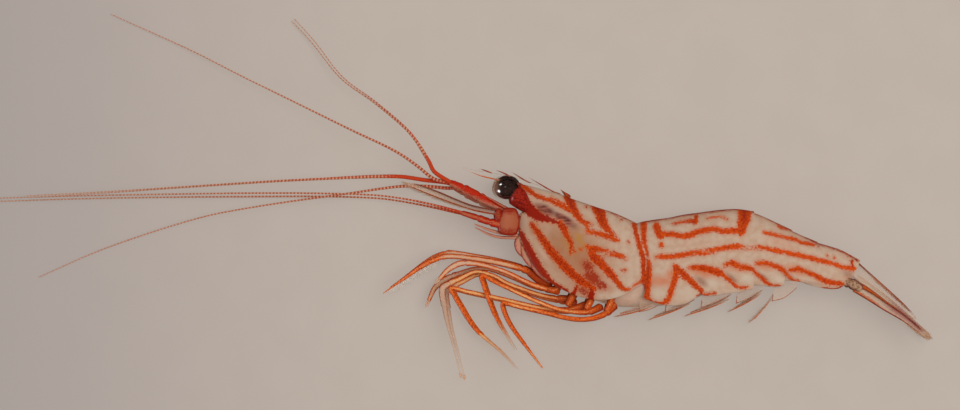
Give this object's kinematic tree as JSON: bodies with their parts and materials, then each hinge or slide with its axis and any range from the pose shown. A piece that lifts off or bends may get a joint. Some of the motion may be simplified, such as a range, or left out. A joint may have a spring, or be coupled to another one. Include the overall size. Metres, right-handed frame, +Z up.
{
  "type": "shrimp",
  "caption": "Life-size red-striped shrimp lying on its right side, with long feelers forward, legs folded under the head and a closed tail fan.",
  "frame": {"origin": "on the small flat under the right side of the carapace, on which the shrimp lies", "axes": "+X from the head to the tail, +Y from the belly to the back, +Z up from the floor to the shrimp's left side"},
  "size_m": [0.1139, 0.0432, 0.0073],
  "materials": {
    "shell": "wet translucent shell with orange-red stripes",
    "clear_plate": "clear thin shell with red edges",
    "leg": "orange-red, paler towards the tips",
    "feeler": "red with fine pale rings",
    "eye": "very glossy, nearly black under a clear rim",
    "eyestalk": "deep red"
  },
  "bodies": {
    "root": {"abdomen_1": "shell", "abdomen_2": "shell", "abdomen_3": "shell", "abdomen_4": "shell", "abdomen_5": "shell", "abdomen_6": "shell", "antenna_left": "feeler", "antenna_right": "feeler", "antenna_root_left": "feeler", "antenna_root_right": "feeler", "antennal_scale_left": "clear_plate", "antennal_scale_right": "clear_plate", "antennule_inner_left": "feeler", "antennule_inner_right": "feeler", "antennule_outer_left": "feeler", "antennule_outer_right": "feeler", "antennule_root_left": "feeler", "antennule_root_right": "feeler", "carapace": "shell", "eye_left": "eye", "eye_right": "eye", "eyestalk_left": "eyestalk", "eyestalk_right": "eyestalk", "leg_1_left": "leg", "leg_1_right": "leg", "leg_2_lower_left": "leg", "leg_2_lower_right": "leg", "leg_2_upper_left": "leg", "leg_2_upper_right": "leg", "leg_3_lower_left": "leg", "leg_3_lower_right": "leg", "leg_3_upper_left": "leg", "leg_3_upper_right": "leg", "leg_4_lower_left": "leg", "leg_4_lower_right": "leg", "leg_4_upper_left": "leg", "leg_4_upper_right": "leg", "leg_5_lower_left": "leg", "leg_5_lower_right": "leg", "leg_5_upper_left": "leg", "leg_5_upper_right": "leg", "maxilliped_left": "leg", "maxilliped_right": "leg", "mouthparts": "shell", "pleopod_1_left": "clear_plate", "pleopod_1_right": "clear_plate", "pleopod_2_left": "clear_plate", "pleopod_2_right": "clear_plate", "pleopod_3_left": "clear_plate", "pleopod_3_right": "clear_plate", "pleopod_4_left": "clear_plate", "pleopod_4_right": "clear_plate", "pleopod_5_left": "clear_plate", "pleopod_5_right": "clear_plate", "rostrum": "clear_plate", "telson": "clear_plate", "uropod_inner_left": "clear_plate", "uropod_inner_right": "clear_plate", "uropod_outer_left": "clear_plate", "uropod_outer_right": "clear_plate"}
  },
  "joints": []
}
